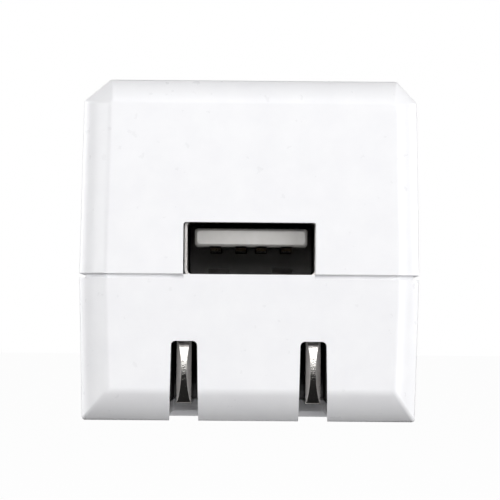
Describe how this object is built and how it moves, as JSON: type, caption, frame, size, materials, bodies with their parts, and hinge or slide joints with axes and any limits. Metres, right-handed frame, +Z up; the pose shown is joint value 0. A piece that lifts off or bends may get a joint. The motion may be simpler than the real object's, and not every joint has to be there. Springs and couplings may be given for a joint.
{
  "type": "usb wall charger",
  "caption": "Cube-like white USB wall charger in two shells, with a USB-A port in one face and flat mains blades that fold out of slots in its wall face.",
  "frame": {"origin": "middle of the bottom face, the face that lies against the wall outlet", "axes": "+Z up from the wall face, -Y out of the USB face, +X to the right as the USB face is seen"},
  "size_m": [0.0334, 0.036, 0.0336],
  "materials": {
    "white_case": "smooth white moulded polycarbonate, semi-gloss",
    "black_plastic": "black moulded PBT",
    "nickel_plate": "nickel-plated brass with sheared and coined nose",
    "spring_steel": "spring steel strip",
    "contact_bronze": "phosphor bronze strip",
    "board": "green solder mask over laminate",
    "usb_steel": "bright tinned steel sheet",
    "tongue_plastic": "off-white moulded insulator",
    "contact_gold": "gold-plated contact strip",
    "ferrite": "dark grey sintered ferrite",
    "bobbin_plastic": "dark phenolic",
    "winding_tape": "yellow polyester tape over the winding",
    "capacitor_sleeve": "aluminium can in a dark shrink sleeve",
    "disc_coating": "blue epoxy-dipped ceramic disc",
    "resistor_coating": "flameproof green coating",
    "chip_epoxy": "black moulded epoxy"
  },
  "bodies": {
    "housing": {"upper_shell": "white_case", "lower_shell": "white_case", "blade_cradle": "black_plastic", "hub_retainer": "black_plastic", "detent_spring": "spring_steel", "mains_contact_left": "contact_bronze", "mains_contact_right": "contact_bronze", "main_board": "board", "usb_shell": "usb_steel", "usb_tongue": "tongue_plastic", "usb_contact_1": "contact_gold", "usb_contact_2": "contact_gold", "usb_contact_3": "contact_gold", "usb_contact_4": "contact_gold", "transformer_core_lower": "ferrite", "transformer_core_upper": "ferrite", "transformer_bobbin": "bobbin_plastic", "transformer_winding": "winding_tape", "input_capacitor_left": "capacitor_sleeve", "input_capacitor_right": "capacitor_sleeve", "output_capacitor": "capacitor_sleeve", "filter_inductor": "ferrite", "fusible_resistor": "resistor_coating", "safety_capacitor": "disc_coating", "bridge_rectifier": "chip_epoxy", "controller_chip": "chip_epoxy", "output_rectifier": "chip_epoxy"},
    "prongs": {"blade_left": "nickel_plate", "blade_right": "nickel_plate", "blade_hub": "black_plastic"}
  },
  "joints": [
    {"name": "prong_fold", "type": "hinge", "parent": "housing", "child": "prongs", "pos_m": [0, 0.006, 0.0049], "axis": [1, 0, 0], "range_deg": [0, 90]}
  ]
}
